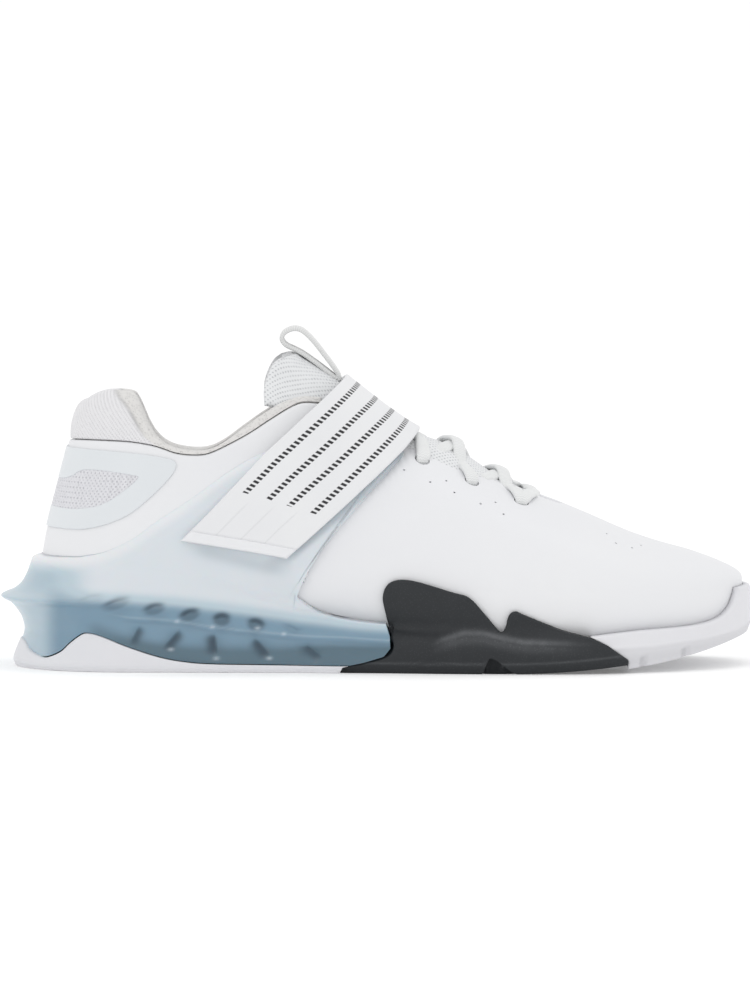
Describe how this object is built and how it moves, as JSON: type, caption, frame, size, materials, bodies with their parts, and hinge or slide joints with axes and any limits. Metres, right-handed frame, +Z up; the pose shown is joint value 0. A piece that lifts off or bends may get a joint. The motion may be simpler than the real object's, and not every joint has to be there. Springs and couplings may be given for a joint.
{
  "type": "weightlifting shoe",
  "caption": "Low-cut weightlifting shoe for the right foot: raised moulded heel wedge with a cage, rubber outsole, padded collar, laces and one wide strap over the instep.",
  "frame": {"origin": "centre of the bounding box, at the floor", "axes": "+X from heel to toe, +Y towards the medial side, +Z up"},
  "size_m": [0.3074, 0.1095, 0.139],
  "materials": {
    "white_rubber": "smooth white rubber with a low sheen",
    "wedge_plastic": "frosted translucent moulded plastic, pale blue",
    "dark_rubber": "dark grey rubber with fine specks",
    "upper_shell": "smooth white coated synthetic",
    "collar_cloth": "off-white knitted mesh over foam",
    "tongue_cloth": "off-white knitted mesh over foam",
    "insole_foam": "off-white textile on foam",
    "counter_film": "thin frosted film",
    "strap_web": "smooth coated white webbing with woven dashes",
    "webbing": "white webbing",
    "lace_cloth": "flat woven white lace"
  },
  "bodies": {
    "root": {"heel_outsole": "white_rubber", "heel_wedge": "wedge_plastic", "forefoot_outsole": "dark_rubber", "toe_outsole": "white_rubber", "upper": "upper_shell", "collar": "collar_cloth", "tongue": "tongue_cloth", "insole": "insole_foam", "heel_counter": "counter_film", "strap": "strap_web", "strap_tip": "strap_web", "pull_loop": "webbing", "lace_bar": "lace_cloth", "lace_cross_1": "lace_cloth", "lace_cross_2": "lace_cloth", "lace_cross_3": "lace_cloth", "lace_cross_4": "lace_cloth"}
  },
  "joints": []
}
